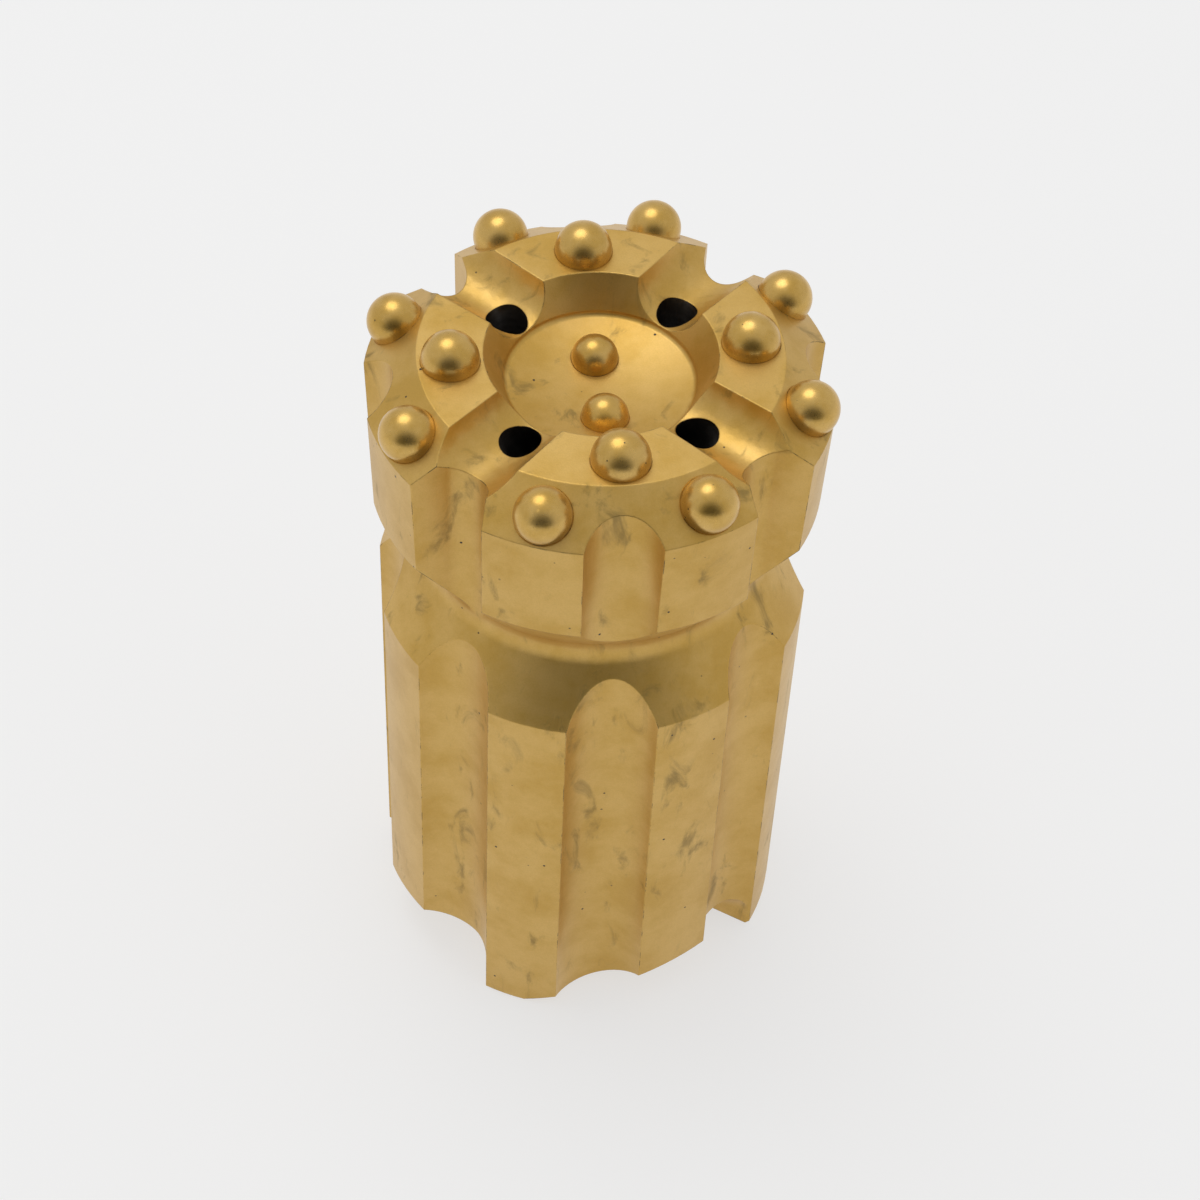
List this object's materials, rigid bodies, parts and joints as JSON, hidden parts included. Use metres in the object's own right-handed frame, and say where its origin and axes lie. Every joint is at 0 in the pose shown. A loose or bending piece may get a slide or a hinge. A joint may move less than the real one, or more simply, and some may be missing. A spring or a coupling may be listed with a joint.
{
  "type": "button drill bit",
  "caption": "Top-hammer drop-centre retrac drill bit: fluted head with domed carbide buttons, narrow neck, fluted skirt with saw-tooth rear end and a threaded rod socket.",
  "frame": {"origin": "centre of the bit's axis on the plane of the rear end that it stands on", "axes": "+Z along the bit's axis towards the face that drills; -Y towards the segment of the head that the picture shows in front"},
  "size_m": [0.0986, 0.0986, 0.1803],
  "materials": {
    "body_paint": "matte metallic gold paint, scuffed, over forged and machined steel; bare oiled steel in the socket",
    "button_paint": "the same gold paint, glossier, over polished tungsten carbide, with grey spots where it has chipped off"
  },
  "bodies": {
    "root": {"steel_body": "body_paint", "gauge_button_1": "button_paint", "gauge_button_2": "button_paint", "gauge_button_3": "button_paint", "gauge_button_4": "button_paint", "gauge_button_5": "button_paint", "gauge_button_6": "button_paint", "gauge_button_7": "button_paint", "gauge_button_8": "button_paint", "face_button_1": "button_paint", "face_button_2": "button_paint", "face_button_3": "button_paint", "face_button_4": "button_paint", "centre_button_1": "button_paint", "centre_button_2": "button_paint"}
  },
  "joints": []
}
